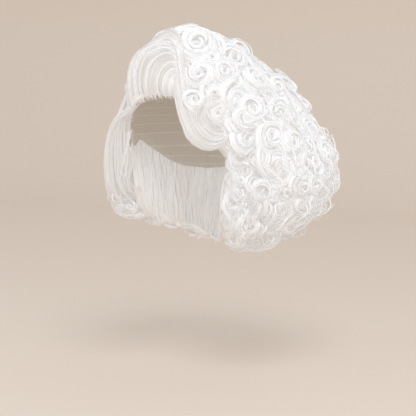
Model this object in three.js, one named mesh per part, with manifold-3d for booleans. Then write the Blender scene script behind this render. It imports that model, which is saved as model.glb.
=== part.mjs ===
// A lace front wig in the form that it has on a head: a stretch cap, a sheer lace strip along
// the front hairline, and white hair in sections, each a body of hair with its main locks fused on.
// Millimetres. +Z is up, -Y is the way the face looks, and +X is the wearer's left.
// The origin is the point inside the cap that rests on the top of the head.
// Angles called deg go round the head from the front (0) by the wearer's left (90) to the back (180).

import * as THREE from "three";
import { mergeVertices } from "three/addons/utils/BufferGeometryUtils.js";
import Module from "manifold-3d";

const wasm = await Module();
wasm.setup();

const { abs, acos, cos, floor, max, round, sign, sin, PI } = Math;
const { degToRad, lerp } = THREE.MathUtils;
const { Vector2, Vector3 } = THREE;

// The head that the cap fits, 560 mm round, as a superellipsoid
const HEAD_HALF_WIDTH = 78;
const HEAD_HALF_LENGTH = 99;
const HEAD_DOME = 115; // from the top of the head down to its widest level
const HEAD_SQUARENESS = 2.5; // 2 would be an ellipsoid

// The walls, and the clearance that pieces keep from each other
const CAP_WALL = 1.2;
const LACE_WALL = 1.0;
const GAP = 0.3;
const ROOT_LIFT = 2; // of the hair off the cap

// The cap's edge: behind the lace at the front, down to the tab by the ear, and round the nape
const CAP_EDGE = [
  { deg: 0, z: -22 },
  { deg: 22, z: -24 },
  { deg: 42, z: -32 },
  { deg: 58, z: -48 },
  { deg: 70, z: -76 },
  { deg: 78, z: -112 },
  { deg: 84, z: -120 },
  { deg: 94, z: -112 },
  { deg: 110, z: -122 },
  { deg: 145, z: -152 },
  { deg: 180, z: -160 },
];
const CAP_STEPS_ROUND = 40;
const CAP_STEPS_DOWN = 6;

// The lace's free edge, which is the hairline, from the middle of the forehead to the sideburn
const LACE_EDGE = [
  { deg: 0, z: -46 },
  { deg: 20, z: -49 },
  { deg: 40, z: -60 },
  { deg: 56, z: -78 },
  { deg: 68, z: -108 },
  { deg: 72, z: -116 },
];
const LACE_STEPS_EACH_SIDE = 8; // of the cap's own steps round, so that the two edges run alike
const LACE_STEPS_ACROSS = 2;

// The hollow that the hair leaves for the neck, as shares of the head's width at these heights
const NECK = [
  { z: -168, share: 0.96 },
  { z: -210, share: 0.85 },
  { z: -300, share: 0.72 },
];

// The body of hair. At each angle its outline runs from the crest over the top of the head, out to
// the full radius, and in again to the hem, which is the lower edge of the hair. The shape is the
// exponent of the upper outline: 1 would be straight, and 2 a quarter of an ellipse.
const CREST = 60; // of the hair above the top of the head
const CROWN_RADIUS = 62; // the crown section sits inside this, and the other sections outside it
const CROWN_STEPS_ROUND = 16;
const CROWN_FLOOR = -70; // a level under the crown's lowest point on the cap

const SECTIONS = {
  front_quiff: [
    { deg: -66, crest: 58, full: 87, fullZ: -30, hem: 82, hemZ: -96, shape: 1.6 },
    { deg: -45, crest: 60, full: 95, fullZ: -14, hem: 85, hemZ: -68, shape: 1.55 },
    { deg: -18, crest: 60, full: 101, fullZ: 4, hem: 86, hemZ: -50, shape: 2 },
    { deg: 14, crest: 60, full: 95, fullZ: 8, hem: 85, hemZ: -47, shape: 2 },
  ],
  front_wave: [
    { deg: 14, crest: 60, full: 99, fullZ: -10, hem: 92, hemZ: -50, shape: 2 },
    { deg: 20, crest: 60, full: 108, fullZ: -40, hem: 96, hemZ: -84, shape: 2 },
    { deg: 27, crest: 60, full: 113, fullZ: -58, hem: 98, hemZ: -103, shape: 1.9 },
    { deg: 38, crest: 60, full: 118, fullZ: -70, hem: 98, hemZ: -120, shape: 1.8 },
    { deg: 50, crest: 60, full: 126, fullZ: -76, hem: 98, hemZ: -120, shape: 1.7 },
    { deg: 70, crest: 60, full: 145, fullZ: -90, hem: 96, hemZ: -150, shape: 1.6 },
  ],
  left_curls: [
    { deg: 70, crest: 60, full: 163, fullZ: -143, hem: 86, hemZ: -253, shape: 1.5 },
    { deg: 85, crest: 60, full: 196, fullZ: -150, hem: 82, hemZ: -266, shape: 1.45 },
    { deg: 110, crest: 60, full: 226, fullZ: -155, hem: 80, hemZ: -272, shape: 1.45 },
    { deg: 126, crest: 60, full: 226, fullZ: -155, hem: 80, hemZ: -272, shape: 1.45 },
  ],
  back_curls: [
    { deg: 126, crest: 60, full: 226, fullZ: -155, hem: 80, hemZ: -272, shape: 1.45 },
    { deg: 165, crest: 60, full: 204, fullZ: -155, hem: 78, hemZ: -270, shape: 1.45 },
    { deg: 196, crest: 58, full: 182, fullZ: -150, hem: 76, hemZ: -262, shape: 1.5 },
  ],
  right_back_curls: [
    { deg: 196, crest: 58, full: 182, fullZ: -150, hem: 76, hemZ: -262, shape: 1.5 },
    { deg: 225, crest: 56, full: 160, fullZ: -145, hem: 78, hemZ: -246, shape: 1.6 },
    { deg: 250, crest: 54, full: 141, fullZ: -140, hem: 80, hemZ: -234, shape: 1.7 },
  ],
  right_side_fall: [
    { deg: 250, crest: 54, full: 141, fullZ: -140, hem: 80, hemZ: -234, shape: 1.7 },
    { deg: 272, crest: 56, full: 125, fullZ: -138, hem: 82, hemZ: -224, shape: 1.5 },
    { deg: 294, crest: 58, full: 118, fullZ: -134, hem: 86, hemZ: -212, shape: 1.4 },
  ],
};
const FULL_SHARE = 0.62; // of the outline's length, where it is fullest
// The body lies this far inside the outline, and its locks reach the outline
const BODY_SINK = { curled: 15, combed: 9 };
const SECTION_STEP_DEG = 16;
const OUTLINE_STEPS = 8;

// Rolled curls in tiers, at shares of the outline's length from crest to hem
const TIERS = [
  { share: 0.265, radius: 31 },
  { share: 0.35, radius: 35 },
  { share: 0.44, radius: 38 },
  { share: 0.56, radius: 39 },
  { share: 0.7, radius: 38 },
  { share: 0.83, radius: 33 },
  { share: 0.95, radius: 25 },
];
const CURLED_SECTIONS = ["left_curls", "back_curls", "right_back_curls"];
const CURL_SPACING = 2.1; // of a curl's radius
const CURL_TURNS = 1.35;
const CURL_STEPS = 7;
const CURL_SIDES = 4;
const CURL_THICKNESS = { start: 0.32, end: 0.2 }; // the lock's half-thickness, of the curl's radius
const CURL_CORE = 0.22; // radius where the roll ends, of the curl's radius
const SCATTER_SHARE = 0.12; // how far a curl strays from its even place, of the spacing

// The crown's curls, in a ring
const CROWN_CURLS = [
  { out: 31, deg: 20, radius: 28 },
  { out: 31, deg: 110, radius: 28 },
  { out: 31, deg: 200, radius: 28 },
  { out: 31, deg: 290, radius: 28 },
];

// The strips of the quiff, combed up from the hairline and over to the wearer's left
const QUIFF_STRIPS = 6;
const QUIFF_SWEEP_DEG = 14;
const QUIFF_STRIP = { wide: 7.5, thick: 6 };
const QUIFF_SHARES = { root: 0.99, top: 0.36 }; // where a strip starts and ends on the outline

// The front wave: strips that fall from the crest and roll into one large curl by the temple
const WAVE_CURL = { deg: 38, share: 0.7, radius: 40, core: 0.45, halfTurns: 1.7 };
const WAVE_CREST = { shares: [0.3, 0.42], turn: 4 }; // where the strips start, above the curl
const WAVE_STRIPS = [
  { inset: 0, half: 10 },
  { inset: 15, half: 9 },
];

// The fall on the wearer's right: locks that hang from the cap and curl at their ends
const FALL_LOCKS = 4;
const FALL_LOCK = { half: 7.5, sway: 2, curl: 13, core: 0.5, halfTurns: 1.6 };
const FALL_SHARES = { root: 0.34, bend: 0.84, roll: 0.93 }; // of a lock's parts on the outline

// Smooth values between the rows of a table, for every column but the first
function tableCurve(rows) {
  const [place, ...columns] = Object.keys(rows[0]);
  const curve = new THREE.CubicInterpolant(
    rows.map((row) => row[place]),
    rows.flatMap((row) => columns.map((column) => row[column])),
    columns.length,
  );
  return (at) => Object.fromEntries([...curve.evaluate(at)].map((value, i) => [columns[i], value]));
}

// An even scatter from -1 to 1, the same for the same number
function scatter(number) {
  const wave = sin(number * 12.9898) * 43758.5453;
  return 2 * (wave - floor(wave)) - 1;
}

// A point at an angle round the head, a distance out from the middle and a height
function around(deg, out, z) {
  const turn = degToRad(deg);
  return new Vector3(out * sin(turn), -out * cos(turn), z);
}

// Triangles that fill a flat loop
function capIndices(loop) {
  const normal = new Vector3();
  loop.forEach((point, i) => normal.add(new Vector3().crossVectors(point, loop[(i + 1) % loop.length])));
  normal.normalize();
  const across = new Vector3().subVectors(loop[1], loop[0]).normalize();
  const along = new Vector3().crossVectors(normal, across);
  const flat = loop.map((point) => new Vector2(point.dot(across), point.dot(along)));
  return THREE.ShapeUtils.triangulateShape(flat, []);
}

// A closed skin through loops of points. The row of loops closes on itself, or its ends are filled.
function loft(loops, closesOnItself = false) {
  const size = loops[0].length;
  const triangles = [];
  const strips = closesOnItself ? loops.length : loops.length - 1;
  for (let row = 0; row < strips; row++) {
    const here = row * size;
    const next = ((row + 1) % loops.length) * size;
    for (let i = 0; i < size; i++) {
      const j = (i + 1) % size;
      triangles.push([here + i, here + j, next + j], [here + i, next + j, next + i]);
    }
  }
  if (!closesOnItself) {
    const last = (loops.length - 1) * size;
    triangles.push(...capIndices(loops[0]).map(([a, b, c]) => [c, b, a]));
    triangles.push(...capIndices(loops.at(-1)).map(([a, b, c]) => [last + a, last + b, last + c]));
  }
  const geometry = new THREE.BufferGeometry().setFromPoints(loops.flat());
  geometry.setIndex(triangles.flat());
  return geometry;
}

// A geometry as a solid that can be joined and cut, with its faces pointing out
function solidOf(geometry) {
  const bare = new THREE.BufferGeometry();
  bare.setAttribute("position", geometry.getAttribute("position"));
  bare.setIndex(geometry.getIndex());
  const merged = mergeVertices(bare, 1e-3);
  const corners = merged.index.array;
  const kept = [];
  for (let i = 0; i < corners.length; i += 3) {
    const [a, b, c] = corners.slice(i, i + 3);
    if (a !== b && b !== c && a !== c) kept.push([a, b, c]);
  }
  const build = (faces) =>
    new wasm.Manifold(
      new wasm.Mesh({
        numProp: 3,
        vertProperties: new Float32Array(merged.attributes.position.array),
        triVerts: new Uint32Array(faces.flat()),
      }),
    );
  const made = build(kept);
  return made.volume() > 0 ? made : build(kept.map(([a, b, c]) => [c, b, a]));
}

// The main piece of a cut solid, without slivers of locks that the cut leaves loose
function mainPiece(solid) {
  return solid.decompose().reduce((most, piece) => (piece.volume() > most.volume() ? piece : most));
}

// A solid as a named node
function node(name, solid, material) {
  const { numProp, vertProperties, triVerts } = solid.getMesh();
  const geometry = new THREE.BufferGeometry();
  const corners = new THREE.InterleavedBuffer(vertProperties, numProp);
  geometry.setAttribute("position", new THREE.InterleavedBufferAttribute(corners, 3, 0));
  geometry.setIndex(new THREE.BufferAttribute(triVerts, 1));
  const flat = geometry.toNonIndexed();
  flat.computeVertexNormals();
  const mesh = new THREE.Mesh(flat, material);
  mesh.name = name;
  return mesh;
}

// A point on the head, offset outwards; phi is 0 on top and 90 degrees at the widest level
function onHead(deg, phi, offset) {
  const level = sign(cos(phi)) * abs(cos(phi)) ** (2 / HEAD_SQUARENESS);
  const width = abs(sin(phi)) ** (2 / HEAD_SQUARENESS);
  const turn = degToRad(deg);
  return new Vector3(
    (HEAD_HALF_WIDTH + offset) * width * sin(turn),
    -(HEAD_HALF_LENGTH + offset) * width * cos(turn),
    (HEAD_DOME + offset) * level - HEAD_DOME,
  );
}

// The phi at which the head has a height
function headPhi(z) {
  const level = (z + HEAD_DOME) / HEAD_DOME;
  return acos(sign(level) * abs(level) ** (HEAD_SQUARENESS / 2));
}

const capEdge = tableCurve(CAP_EDGE);
const laceEdge = tableCurve(LACE_EDGE);

// The cap, a hollow dome open below
function makeCap() {
  const loops = [];
  for (let step = 0; step < CAP_STEPS_ROUND; step++) {
    const deg = (step * 360) / CAP_STEPS_ROUND - 180;
    const edge = headPhi(capEdge(abs(deg)).z);
    const shares = Array.from({ length: CAP_STEPS_DOWN + 1 }, (_, i) => i / CAP_STEPS_DOWN);
    const outside = shares.map((share) => onHead(deg, share * edge, CAP_WALL));
    const inside = shares.map((share) => onHead(deg, share * edge, 0));
    loops.push([...outside, ...inside.reverse()]);
  }
  return solidOf(loft(loops, true));
}

// The lace, a strip that carries the front of the cap on to the hairline
function makeLace() {
  const loops = [];
  const seamGap = (3 * GAP) / HEAD_DOME;
  for (let step = -LACE_STEPS_EACH_SIDE; step <= LACE_STEPS_EACH_SIDE; step++) {
    const deg = (step * 360) / CAP_STEPS_ROUND;
    const seam = headPhi(capEdge(abs(deg)).z) + seamGap;
    const edge = headPhi(laceEdge(abs(deg)).z);
    const shares = Array.from({ length: LACE_STEPS_ACROSS + 1 }, (_, i) => i / LACE_STEPS_ACROSS);
    const outside = shares.map((share) => onHead(deg, lerp(seam, edge, share), LACE_WALL));
    const inside = shares.map((share) => onHead(deg, lerp(seam, edge, share), 0));
    loops.push([...outside, ...inside.reverse()]);
  }
  return solidOf(loft(loops));
}

// What the hair has to stay out of: the head with its cap, and the neck below
function makeHeadSpace() {
  const clear = CAP_WALL + ROOT_LIFT;
  const lowest = headPhi(NECK[0].z);
  const loops = [];
  for (let step = 0; step < CAP_STEPS_ROUND; step++) {
    const deg = (step * 360) / CAP_STEPS_ROUND;
    const head = Array.from({ length: CAP_STEPS_DOWN }, (_, i) =>
      onHead(deg, (i / CAP_STEPS_DOWN) * lowest, clear),
    );
    const below = NECK.map(({ z, share }) => {
      const level = onHead(deg, PI / 2, clear).multiplyScalar(share);
      return level.setZ(z);
    });
    loops.push([...head, ...below, new Vector3(0, 0, NECK.at(-1).z)]);
  }
  return solidOf(loft(loops, true));
}

// The outline of the hair at one angle: a point at a share of the way from crest to hem
function outlinePoint({ crest, full, fullZ, hem, hemZ, shape }, share) {
  if (share < FULL_SHARE) {
    const turn = ((share / FULL_SHARE) * PI) / 2;
    const out = full * sin(turn) ** (2 / shape);
    return new Vector2(out, lerp(fullZ, crest, cos(turn) ** (2 / shape)));
  }
  const turn = (((share - FULL_SHARE) / (1 - FULL_SHARE)) * PI) / 2;
  return new Vector2(lerp(hem, full, cos(turn)), lerp(fullZ, hemZ, sin(turn)));
}

// A section of hair: its outline at an angle and share, and the frame that locks are laid in there
class Section {
  constructor(rows, sink) {
    this.sink = sink;
    this.from = rows[0].deg;
    this.to = rows.at(-1).deg;
    this.rowAt = tableCurve(rows);
  }

  point(deg, share) {
    const { x, y } = outlinePoint(this.rowAt(deg), share);
    return around(deg, x, y);
  }

  frame(deg, share) {
    const step = 0.02;
    const here = this.point(deg, share);
    const side = around(deg + 90, 1, 0);
    const above = this.point(deg, max(0, share - step));
    const below = this.point(deg, Math.min(1, share + step));
    const up = new Vector3().subVectors(above, below).normalize();
    const out = new Vector3().crossVectors(side, up).normalize();
    return { here, side, up, out };
  }

  // The body of hair, as a wedge from the middle of the head out to just inside the outline
  body() {
    const steps = max(2, round((this.to - this.from) / SECTION_STEP_DEG));
    const loops = [];
    for (let step = 0; step <= steps; step++) {
      const deg = lerp(this.from, this.to, step / steps);
      const skin = [];
      for (let i = 1; i <= OUTLINE_STEPS; i++) {
        const share = i / OUTLINE_STEPS;
        const { here, out } = this.frame(deg, share);
        skin.push(share < 1 ? here.addScaledVector(out, -this.sink) : here);
      }
      const top = new Vector3(0, 0, skin[0].z);
      loops.push([top, ...skin, new Vector3(0, 0, skin.at(-1).z)]);
    }
    return solidOf(loft(levelEnds(loops)));
  }
}

// The same loops with their points on the middle line at one height above and one below
function levelEnds(loops) {
  const top = max(...loops.map((loop) => loop[0].z));
  const bottom = Math.min(...loops.map((loop) => loop.at(-1).z));
  return loops.map((loop) => [new Vector3(0, 0, top), ...loop.slice(1, -1), new Vector3(0, 0, bottom)]);
}

// A lock of hair along points, round or flattened, that tapers to its end
function lock(points, halfWide, halfThick, outwards, { steps, sides, taper }) {
  const path = new THREE.CatmullRomCurve3(points, false, "centripetal");
  const loops = [];
  for (let step = 0; step <= steps; step++) {
    const share = step / steps;
    const middle = path.getPointAt(share);
    const tangent = path.getTangentAt(share);
    const out = outwards.clone().addScaledVector(tangent, -outwards.dot(tangent)).normalize();
    const across = new Vector3().crossVectors(tangent, out);
    const size = lerp(1, taper, share);
    const ring = [];
    for (let i = 0; i < sides; i++) {
      const turn = (i / sides) * 2 * PI;
      ring.push(
        middle
          .clone()
          .addScaledVector(across, halfWide * size * cos(turn))
          .addScaledVector(out, halfThick * size * sin(turn)),
      );
    }
    loops.push(ring);
  }
  return solidOf(loft(loops));
}

// A rolled curl on the outline: it comes down one side and winds in; spin 1 turns anticlockwise
function curl({ here, side, up, out }, radius, spin) {
  const points = [];
  const half = radius * CURL_THICKNESS.start;
  const middle = here.clone().addScaledVector(out, -half);
  const place = (turn, reach, height) =>
    middle
      .clone()
      .addScaledVector(side, spin * reach * cos(turn))
      .addScaledVector(up, reach * sin(turn))
      .addScaledVector(out, height);
  const mean = 1 - CURL_THICKNESS.start;
  for (let i = 0; i <= CURL_STEPS; i++) {
    const share = i / CURL_STEPS;
    const reach = radius * lerp(mean, CURL_CORE, share);
    points.push(place(PI + share * CURL_TURNS * 2 * PI, reach, radius * 0.1 * sin(share * PI)));
  }
  const taper = CURL_THICKNESS.end / CURL_THICKNESS.start;
  return lock(points, half, half, out, { steps: CURL_STEPS, sides: CURL_SIDES, taper });
}

// The curls of one section, tier by tier
function tierCurls(section) {
  const curls = [];
  TIERS.forEach(({ share, radius }, tier) => {
    const middle = section.point((section.from + section.to) / 2, share);
    const out = Math.hypot(middle.x, middle.y);
    const width = out * degToRad(section.to - section.from);
    const count = max(1, round(width / (CURL_SPACING * radius)));
    const spacing = (section.to - section.from) / count;
    for (let i = 0; i < count; i++) {
      const number = section.from + tier * 17 + i * 5;
      const deg = section.from + (i + 0.5 + SCATTER_SHARE * scatter(number)) * spacing;
      const spin = (i + tier) % 2 ? 1 : -1;
      curls.push(curl(section.frame(deg, share), radius, spin));
    }
  });
  return curls;
}

// The strips of the quiff, which follow its outline from the hairline up
function quiffStrips(section) {
  const strips = [];
  for (let i = 0; i < QUIFF_STRIPS; i++) {
    const root = lerp(section.from, section.to, (i + 0.5) / QUIFF_STRIPS);
    const { wide, thick } = QUIFF_STRIP;
    const points = [];
    for (let step = 0; step <= 5; step++) {
      const rise = step / 5;
      const share = lerp(QUIFF_SHARES.root, QUIFF_SHARES.top, rise);
      const deg = Math.min(section.to, root + QUIFF_SWEEP_DEG * rise ** 2);
      const { here, out } = section.frame(deg, share);
      points.push(here.addScaledVector(out, -thick));
    }
    const outwards = section.frame(root, FULL_SHARE).out;
    strips.push(lock(points, wide, thick, outwards, { steps: 6, sides: 4, taper: 1.1 }));
  }
  return strips;
}

// The front wave's strips: down from the crest, round under, and in to the middle of the curl
function waveStrips(section) {
  const { deg, share, radius, core, halfTurns } = WAVE_CURL;
  const { here, side, up, out } = section.frame(deg, share);
  const steps = 8;
  return WAVE_STRIPS.map(({ inset, half }) => {
    const reach = radius - inset;
    const points = WAVE_CREST.shares.map((start) => {
      const crest = section.frame(deg - WAVE_CREST.turn + inset / 2, start);
      return crest.here.addScaledVector(crest.out, -half);
    });
    for (let i = 0; i <= steps; i++) {
      const turn = PI * (0.95 + (i / steps) * halfTurns);
      const size = lerp(reach - half, core * reach, (i / steps) ** 1.5);
      points.push(
        here
          .clone()
          .addScaledVector(side, size * cos(turn))
          .addScaledVector(up, size * sin(turn))
          .addScaledVector(out, -half),
      );
    }
    return lock(points, half, half, out, { steps: 15, sides: 5, taper: 0.6 });
  });
}

// The locks of the fall on the wearer's right, each rolled up at its end
function fallLocks(section) {
  const locks = [];
  const { half, sway, curl: radius, core, halfTurns } = FALL_LOCK;
  for (let i = 0; i < FALL_LOCKS; i++) {
    const deg = lerp(section.from, section.to, (i + 0.5) / FALL_LOCKS);
    const points = [];
    for (let step = 0; step <= 5; step++) {
      const share = lerp(FALL_SHARES.root, FALL_SHARES.bend, step / 5);
      const { here, out } = section.frame(deg + sway * sin(step * 1.6 + i), share);
      points.push(here.addScaledVector(out, -half));
    }
    const { here, side, up, out } = section.frame(deg, FALL_SHARES.roll);
    const spin = i % 2 ? 1 : -1;
    for (let step = 0; step <= 6; step++) {
      const turn = PI * (1 + (step / 6) * halfTurns);
      const reach = radius * lerp(1, core, step / 6);
      points.push(
        here
          .clone()
          .addScaledVector(side, spin * reach * cos(turn))
          .addScaledVector(up, reach * sin(turn))
          .addScaledVector(out, -half),
      );
    }
    const outwards = section.frame(deg, 0.75).out;
    locks.push(lock(points, half, half, outwards, { steps: 13, sides: 4, taper: 0.7 }));
  }
  return locks;
}

// A slice of space between two angles, clear of the slices beside it
function slice(from, to) {
  const reach = 500;
  const tall = 900;
  const half = degToRad((to - from) / 2);
  const middle = around((from + to) / 2, GAP / 2 / sin(half), 0);
  const corner = (deg) => around(deg, reach, 0).add(middle);
  const corners = [middle, corner(from), corner((from + to) / 2), corner(to)];
  const outline = new THREE.Shape(corners.map(({ x, y }) => new Vector2(x, y)));
  const geometry = new THREE.ExtrudeGeometry(outline, { depth: tall, bevelEnabled: false });
  return solidOf(geometry.translate(0, 0, -tall / 2));
}

// The crown: a low dome of hair on top of the cap, inside the ring of the other sections
function makeCrown(sections) {
  const radius = CROWN_RADIUS * 1.06; // the well trims it
  const rim = (deg) => {
    const turns = [deg, deg - 360];
    const section = sections.find(({ from, to }) => turns.some((d) => d >= from && d <= to));
    const row = section.rowAt(turns.find((d) => d >= section.from && d <= section.to));
    let share = 0;
    while (outlinePoint(row, share).x < radius) share += 0.005;
    return outlinePoint(row, share).y;
  };
  const onDome = (deg, out) => around(deg, out, lerp(CREST, rim(deg), (out / radius) ** 2));
  const sunk = new Vector3(0, 0, -BODY_SINK.curled);
  const loops = [];
  for (let step = 0; step < CROWN_STEPS_ROUND; step++) {
    const deg = (step * 360) / CROWN_STEPS_ROUND;
    const dome = [0, 0.35, 0.7, 1].map((out) => onDome(deg, radius * out).add(sunk));
    loops.push([...dome, around(deg, radius, CROWN_FLOOR), new Vector3(0, 0, CROWN_FLOOR)]);
  }
  let crown = solidOf(loft(loops, true));
  CROWN_CURLS.forEach(({ out, deg, radius: size }, i) => {
    const here = onDome(deg, out);
    const side = around(deg + 90, 1, 0);
    const up = new Vector3().subVectors(onDome(deg, max(0, out - 10)), onDome(deg, out + 10)).normalize();
    const outwards = new Vector3().crossVectors(side, up);
    crown = crown.add(curl({ here, side, up, out: outwards }, size, i % 2 ? 1 : -1));
  });
  return crown;
}

function cylinder(radius) {
  const tall = 400;
  const geometry = new THREE.CylinderGeometry(radius, radius, tall, 2 * CROWN_STEPS_ROUND);
  return solidOf(geometry.rotateX(PI / 2));
}

const hair = new THREE.MeshStandardMaterial({ color: 0xf3f2f4, roughness: 0.45, metalness: 0 });
const net = new THREE.MeshStandardMaterial({ color: 0xe9e2d8, roughness: 0.85, metalness: 0 });
const lace = new THREE.MeshStandardMaterial({
  color: 0xdccbb4,
  roughness: 0.8,
  metalness: 0,
  transparent: true,
  opacity: 0.45,
});

const wig = new THREE.Group();
wig.add(node("cap", makeCap(), net));
wig.add(node("lace_front", makeLace(), lace));

const sections = Object.fromEntries(
  Object.entries(SECTIONS).map(([name, rows]) => {
    const sink = CURLED_SECTIONS.includes(name) ? BODY_SINK.curled : BODY_SINK.combed;
    return [name, new Section(rows, sink)];
  }),
);
const headSpace = makeHeadSpace();
const outerWell = cylinder(CROWN_RADIUS + GAP / 2);
const innerWell = cylinder(CROWN_RADIUS - GAP / 2);

const crown = makeCrown(Object.values(sections)).intersect(innerWell).subtract(headSpace);
wig.add(node("crown_curls", crown, hair));

for (const [name, section] of Object.entries(sections)) {
  let locks = [];
  if (CURLED_SECTIONS.includes(name)) locks = tierCurls(section);
  if (name === "front_quiff") locks = quiffStrips(section);
  if (name === "front_wave") locks = waveStrips(section);
  if (name === "right_side_fall") locks = fallLocks(section);
  const fused = locks.reduce((body, piece) => body.add(piece), section.body());
  const cut = fused.intersect(slice(section.from, section.to));
  wig.add(node(name, mainPiece(cut.subtract(headSpace).subtract(outerWell)), hair));
}

export default wig;
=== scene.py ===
import bpy
import mathutils
import numpy as np
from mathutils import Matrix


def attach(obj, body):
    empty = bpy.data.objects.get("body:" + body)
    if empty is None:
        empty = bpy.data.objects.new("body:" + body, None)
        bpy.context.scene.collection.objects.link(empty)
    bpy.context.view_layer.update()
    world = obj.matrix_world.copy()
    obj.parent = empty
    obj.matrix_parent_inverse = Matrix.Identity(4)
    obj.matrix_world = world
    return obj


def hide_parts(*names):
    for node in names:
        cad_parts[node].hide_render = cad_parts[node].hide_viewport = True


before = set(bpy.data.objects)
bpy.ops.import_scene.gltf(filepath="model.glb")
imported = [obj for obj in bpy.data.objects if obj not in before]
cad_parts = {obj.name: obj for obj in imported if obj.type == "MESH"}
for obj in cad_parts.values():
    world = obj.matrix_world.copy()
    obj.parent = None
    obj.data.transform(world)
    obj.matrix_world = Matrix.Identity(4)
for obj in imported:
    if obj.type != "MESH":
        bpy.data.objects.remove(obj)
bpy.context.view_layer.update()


# The cap is a dome of ivory stretch net that everything else is sewn to. It is knitted thin, is
# pulled over the head like a swimming cap, and ends in a tab by each ear and a low edge at the nape.
# Sizes are in millimetres. Angles go round from the front (0) by the wearer's left (90) to the back.
HEAD_HALF_WIDTH, HEAD_HALF_LENGTH = 78, 99
HEAD_DOME, HEAD_SQUARENESS = 115, 2.5
CAP_WALL = 1.2
CAP_EDGE = [  # angle to either side of the front, height
    (0, -22), (22, -24), (42, -32), (58, -48), (70, -76), (78, -112), (84, -120), (94, -112), (110, -122),
    (145, -152), (180, -160),
]
YARN_ROWS, YARN_COLUMNS = 2500, 1400  # waves of the knit, in radians: a metre down, and a turn round
SEWN_ROWS = 262  # radians a metre, which is a row every 12 mm
NET_SHADE, NET_IVORY = (0.72, 0.67, 0.6, 1), (0.9, 0.875, 0.83, 1)


def read(table, at):
    """Smooth values of a table's columns between its rows."""
    rows = np.asarray(table, float)
    x, y = rows[:, 0], rows[:, 1:]
    slope = np.gradient(y, x, axis=0)
    at = np.clip(np.asarray(at, float), x[0], x[-1])
    i = np.clip(np.searchsorted(x, at, side="right") - 1, 0, len(x) - 2)
    width = (x[i + 1] - x[i])[..., None]
    t = (at - x[i])[..., None] / width
    early, late = (1 - t) ** 2, t ** 2
    return (y[i] * (1 + 2 * t) * early + y[i + 1] * (3 - 2 * t) * late
            + slope[i] * width * t * early - slope[i + 1] * width * (1 - t) * late)


def around(deg, out, z):
    """Points at angles round the head, distances out from its middle line, and heights."""
    turn, out, z = np.broadcast_arrays(np.radians(deg), out, z)
    return np.stack([out * np.sin(turn), -out * np.cos(turn), z], axis=-1)


def on_head(deg, phi, offset):
    """Points on the head, pushed out by an offset; phi is 0 on top and a right angle at its widest."""
    power = 2 / HEAD_SQUARENESS
    level = np.sign(np.cos(phi)) * np.abs(np.cos(phi)) ** power
    width = np.abs(np.sin(phi)) ** power
    turn = np.radians(deg)
    return np.stack([(HEAD_HALF_WIDTH + offset) * width * np.sin(turn),
                     -(HEAD_HALF_LENGTH + offset) * width * np.cos(turn),
                     (HEAD_DOME + offset) * level - HEAD_DOME + 0.0 * turn], axis=-1)


def head_phi(z):
    """The angle phi at which the head has a height."""
    level = (np.asarray(z, float) + HEAD_DOME) / HEAD_DOME
    return np.arccos(np.clip(np.sign(level) * np.abs(level) ** (HEAD_SQUARENESS / 2), -1, 1))


def mesh_object(name, points, faces, uv=None):
    """An object at the origin from points in millimetres, smooth, with a UV map where one is given."""
    mesh = bpy.data.meshes.new(name)
    mesh.from_pydata((np.asarray(points) * 0.001).tolist(), [], faces)
    mesh.update()
    if uv is not None:
        corners = np.zeros(len(mesh.loops), int)
        mesh.loops.foreach_get("vertex_index", corners)
        layer = mesh.uv_layers.new(name="flat")
        layer.data.foreach_set("uv", np.asarray(uv, float)[corners].ravel())
    mesh.shade_smooth()
    made = bpy.data.objects.new(name, mesh)
    bpy.context.collection.objects.link(made)
    return made


def ring_faces(rows, columns, start, wraps, flip):
    """Quads between neighbouring points of a grid, stored row by row from a start."""
    faces = []
    for row in range(rows - 1):
        for column in range(columns if wraps else columns - 1):
            near = (column + 1) % columns
            quad = [start + row * columns + column, start + row * columns + near,
                    start + (row + 1) * columns + near, start + (row + 1) * columns + column]
            faces.append(quad if flip else quad[::-1])
    return faces


def cap_shell():
    columns, rows, first_ring = 120, 26, 0.03
    deg = np.linspace(-180, 180, columns, endpoint=False)
    edge = head_phi(read(CAP_EDGE, np.abs(deg))[:, 0])
    share = np.linspace(first_ring, 1, rows)
    phi = share[:, None] * edge[None, :]
    wide = np.broadcast_to(deg, phi.shape)
    outside = on_head(wide, phi, CAP_WALL).reshape(-1, 3)
    inside = on_head(wide, phi, 0).reshape(-1, 3)
    tops = np.array([[0, 0, CAP_WALL], [0, 0, 0]])
    points = np.concatenate([outside, inside, tops])
    size = rows * columns
    faces = ring_faces(rows, columns, 0, True, False) + ring_faces(rows, columns, size, True, True)
    for column in range(columns):
        near = (column + 1) % columns
        low = (rows - 1) * columns
        faces.append([low + column, low + near, size + low + near, size + low + column][::-1])
        faces.append([2 * size, column, near])
        faces.append([2 * size + 1, size + near, size + column])
    flat = np.stack([wide.ravel() / 360, (phi * HEAD_DOME).ravel() * 0.001], axis=-1)
    return mesh_object("cap_net", points, faces, np.concatenate([flat, flat, [[0, 0], [0, 0]]]))


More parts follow.
